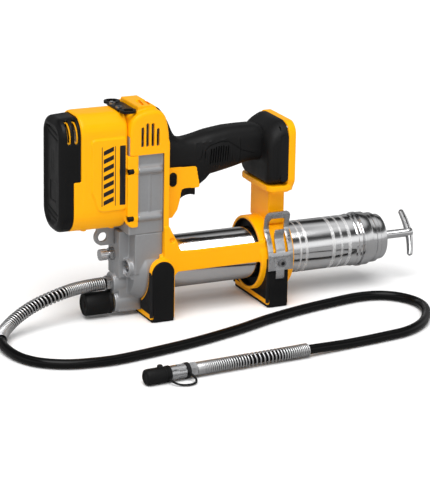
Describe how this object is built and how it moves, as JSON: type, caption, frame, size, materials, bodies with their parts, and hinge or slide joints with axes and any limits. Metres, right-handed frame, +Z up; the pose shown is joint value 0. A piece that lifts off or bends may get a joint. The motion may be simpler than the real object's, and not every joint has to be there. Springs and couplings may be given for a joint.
{
  "type": "cordless grease gun",
  "caption": "Battery grease gun with pistol grip, upright motor housing, polished screw-in grease barrel with T-handle rod, two feet and a long delivery hose with capped coupler",
  "frame": {"origin": "on the floor, on the sole of the front foot, under the barrel axis", "axes": "+Z up, +X from the pump head towards the T-handle, -Y is the left side, the side with the hose"},
  "size_m": [0.5235, 0.2798, 0.2364],
  "materials": {
    "yellow_shell": "fine satin moulding texture",
    "black_grip": "soft-touch overmould, fine grain",
    "black_plastic": "satin",
    "rubber": "satin",
    "hose_rubber": "smooth, slightly glossy",
    "cast_aluminium": "die-cast, blasted",
    "zinc_steel": "zinc plated",
    "steel": "ground",
    "chrome": "polished",
    "black_steel": "black oxide",
    "brass": "machined",
    "copper_core": "laminated core with windings",
    "board": "satin"
  },
  "bodies": {
    "tool": {"motor_housing": "yellow_shell", "motor_end_cap": "black_plastic", "motor_can": "steel", "motor_bearings": "steel", "gear_case": "cast_aluminium", "gear_case_cover": "cast_aluminium", "gear_bearings": "steel", "pump_head": "cast_aluminium", "plunger_seal": "rubber", "check_spring": "steel", "relief_plug": "black_steel", "bleeder_body": "zinc_steel", "filler_nipple": "brass", "hose_fitting": "zinc_steel", "hose": "hose_rubber", "spring_guard_inner": "zinc_steel", "spring_guard_outer": "zinc_steel", "coupler_fitting": "zinc_steel", "coupler_body": "zinc_steel", "coupler_jaws": "steel", "dust_cap_tether": "rubber", "frame_shell_left": "yellow_shell", "frame_shell_right": "yellow_shell", "grip_shell_left": "black_grip", "grip_shell_right": "black_grip", "battery_terminal_block": "black_plastic", "terminal_blades": "brass", "controller_board": "board", "switch_body": "black_plastic", "trigger_spring": "steel", "front_foot_pad": "rubber", "rear_foot_pad": "rubber", "barrel_ring_seal": "rubber", "hose_clip": "zinc_steel", "clip_screw": "black_steel", "strap_bracket": "rubber", "strap_screws": "black_steel", "housing_screws": "black_steel", "clamshell_screws": "black_steel", "barrel_gasket": "rubber", "follower_spring": "zinc_steel"},
    "rotor": {"rotor_shaft": "copper_core", "motor_fan": "black_plastic"},
    "intermediate": {"intermediate_gear": "steel"},
    "crank": {"crank_gear": "steel"},
    "plunger": {"pump_plunger": "steel"},
    "check": {"check_ball": "steel"},
    "bleeder": {"bleeder_stem": "zinc_steel"},
    "filler": {"filler_cap": "rubber"},
    "cap": {"dust_cap": "rubber"},
    "trigger_key": {"trigger": "black_grip"},
    "lock": {"lock_button": "black_grip"},
    "bush": {"rod_bush": "black_steel"},
    "barrel": {"barrel_tube": "chrome", "barrel_end_cap": "zinc_steel"},
    "follower": {"follower_plate": "zinc_steel", "follower_seal": "rubber"},
    "rod": {"follower_rod": "chrome", "t_handle": "chrome"}
  },
  "joints": [
    {"name": "trigger_pull", "type": "slide", "parent": "tool", "child": "trigger_key", "axis": [0, 0, 1], "range_m": [0, 0.006], "stiffness_N_per_m": 600, "springref_m": -0.004, "deforming": ["trigger_spring"]},
    {"name": "lock_slide", "type": "slide", "parent": "tool", "child": "lock", "axis": [0, 1, 0], "range_m": [-0.0025, 0.0025]},
    {"name": "rotor_spin", "type": "hinge", "parent": "tool", "child": "rotor", "pos_m": [-0.07, 0, 0.198], "axis": [1, 0, 0], "continuous": true},
    {"name": "intermediate_spin", "type": "hinge", "parent": "tool", "child": "intermediate", "pos_m": [-0.01, 0, 0.168], "axis": [1, 0, 0], "continuous": true},
    {"name": "crank_spin", "type": "hinge", "parent": "tool", "child": "crank", "pos_m": [-0.018, 0, 0.133], "axis": [1, 0, 0], "continuous": true},
    {"name": "plunger_stroke", "type": "slide", "parent": "tool", "child": "plunger", "axis": [0, 0, 1], "range_m": [-0.006, 0.006]},
    {"name": "check_lift", "type": "slide", "parent": "tool", "child": "check", "axis": [-1, 0, 0], "range_m": [0, 0.0006], "stiffness_N_per_m": 800, "springref_m": -0.001},
    {"name": "bleeder_turn", "type": "hinge", "parent": "tool", "child": "bleeder", "pos_m": [-0.05, 0, 0.0695], "axis": [1, 0, 0], "range_deg": [0, 180]},
    {"name": "filler_cap_pull", "type": "slide", "parent": "tool", "child": "filler", "axis": [-1, 0, 0], "range_m": [0, 0.03]},
    {"name": "dust_cap_pull", "type": "slide", "parent": "tool", "child": "cap", "axis": [-0.996, -0.0893, 0], "range_m": [0, 0.03]},
    {"name": "barrel_backoff", "type": "slide", "parent": "tool", "child": "bush", "axis": [1, 0, 0], "range_m": [0, 0.008]},
    {"name": "barrel_turn", "type": "hinge", "parent": "bush", "child": "barrel", "pos_m": [0.1, 0, 0.053], "axis": [1, 0, 0], "range_deg": [0, 1440]},
    {"name": "follower_draw", "type": "slide", "parent": "bush", "child": "follower", "axis": [1, 0, 0], "range_m": [0, 0.19], "stiffness_N_per_m": 150, "springref_m": -0.05, "deforming": ["follower_spring"]},
    {"name": "rod_twist", "type": "hinge", "parent": "follower", "child": "rod", "pos_m": [0.3, 0, 0.053], "axis": [1, 0, 0], "continuous": true}
  ],
  "couplings": [
    {"joint": "intermediate_spin", "follows": "rotor_spin", "ratio": -0.25},
    {"joint": "crank_spin", "follows": "rotor_spin", "ratio": 0.083333},
    {"joint": "barrel_backoff", "follows": "barrel_turn", "m_per_rad": 0.00031831}
  ]
}
